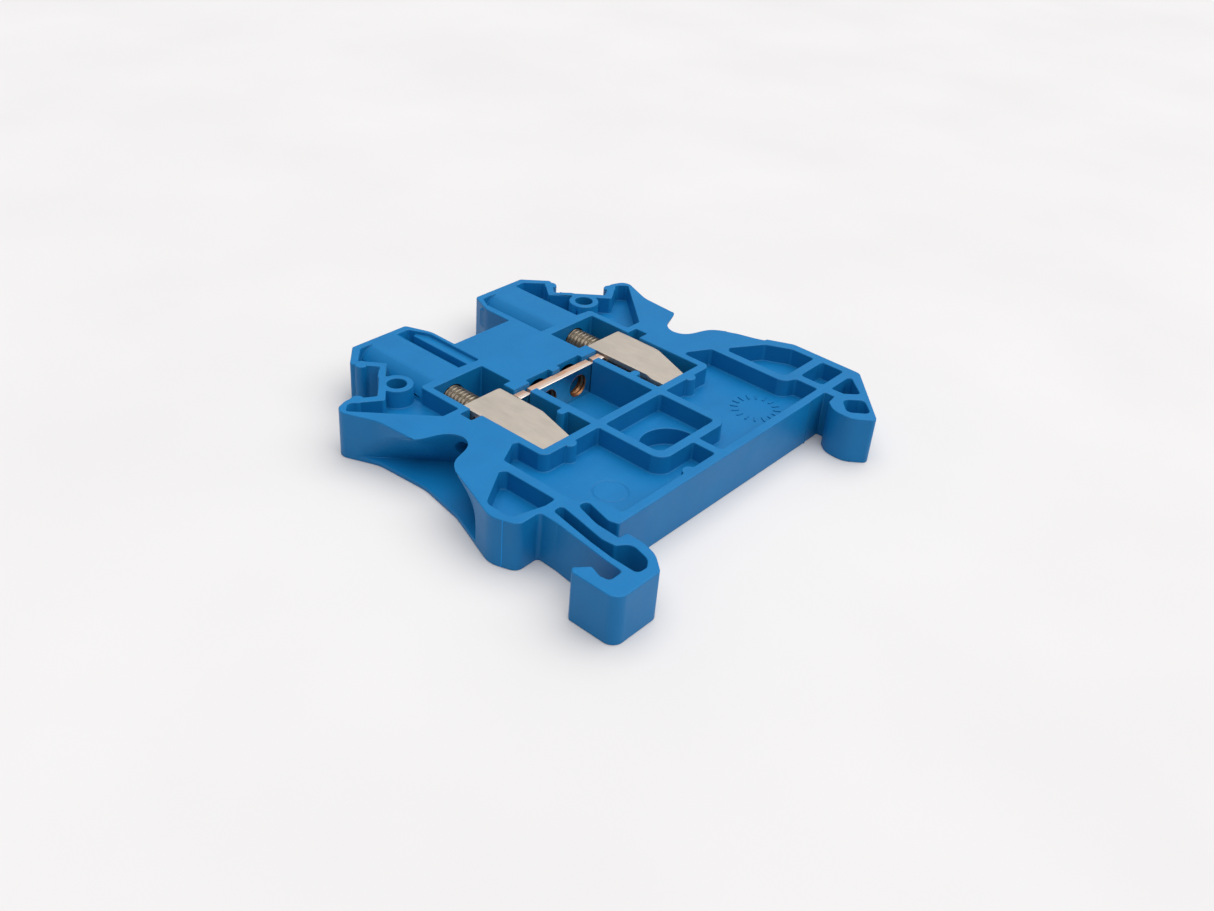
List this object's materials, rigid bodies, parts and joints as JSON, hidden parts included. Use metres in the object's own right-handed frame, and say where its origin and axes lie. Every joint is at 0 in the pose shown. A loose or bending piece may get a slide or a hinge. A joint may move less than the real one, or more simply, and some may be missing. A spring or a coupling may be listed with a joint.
{
  "type": "DIN rail terminal block",
  "caption": "Slim blue DIN rail feed-through terminal block, open on one side, with screw clamps, a current bar and a sprung rail foot.",
  "frame": {"origin": "centre of the seat that rests on the rail, at mid width", "axes": "+X along the block towards the fixed foot, +Y from the rail towards the screws, +Z out of the open side"},
  "size_m": [0.0475, 0.0462, 0.0052],
  "materials": {
    "blue_plastic": "satin",
    "tinned_copper": "satin",
    "plated_steel": "satin",
    "screw_steel": "satin"
  },
  "bodies": {
    "block": {"housing": "blue_plastic", "current_bar": "tinned_copper"},
    "foot": {"spring_foot": "blue_plastic"},
    "cage_left": {"clamp_cage_left": "plated_steel"},
    "cage_right": {"clamp_cage_right": "plated_steel"},
    "screw_left": {"clamp_screw_left": "screw_steel"},
    "screw_right": {"clamp_screw_right": "screw_steel"}
  },
  "joints": [
    {"name": "foot_flex", "type": "hinge", "parent": "block", "child": "foot", "pos_m": [-0.0183, 0.0053, 0], "axis": [0, 0, -1], "range_deg": [0, 14], "stiffness_Nm_per_rad": 0.3},
    {"name": "screw_turn_left", "type": "hinge", "parent": "block", "child": "screw_left", "pos_m": [-0.0093, 0.0289, 0.0002], "axis": [0, -1, 0], "range_deg": [0, 2448]},
    {"name": "screw_turn_right", "type": "hinge", "parent": "block", "child": "screw_right", "pos_m": [0.0093, 0.0289, 0.0002], "axis": [0, -1, 0], "range_deg": [0, 2448]},
    {"name": "cage_lift_left", "type": "slide", "parent": "block", "child": "cage_left", "axis": [0, 1, 0], "range_m": [0, 0.0034]},
    {"name": "cage_lift_right", "type": "slide", "parent": "block", "child": "cage_right", "axis": [0, 1, 0], "range_m": [0, 0.0034]}
  ],
  "couplings": [
    {"joint": "screw_turn_left", "follows": "cage_lift_left", "rad_per_m": 12566},
    {"joint": "screw_turn_right", "follows": "cage_lift_right", "rad_per_m": 12566}
  ]
}
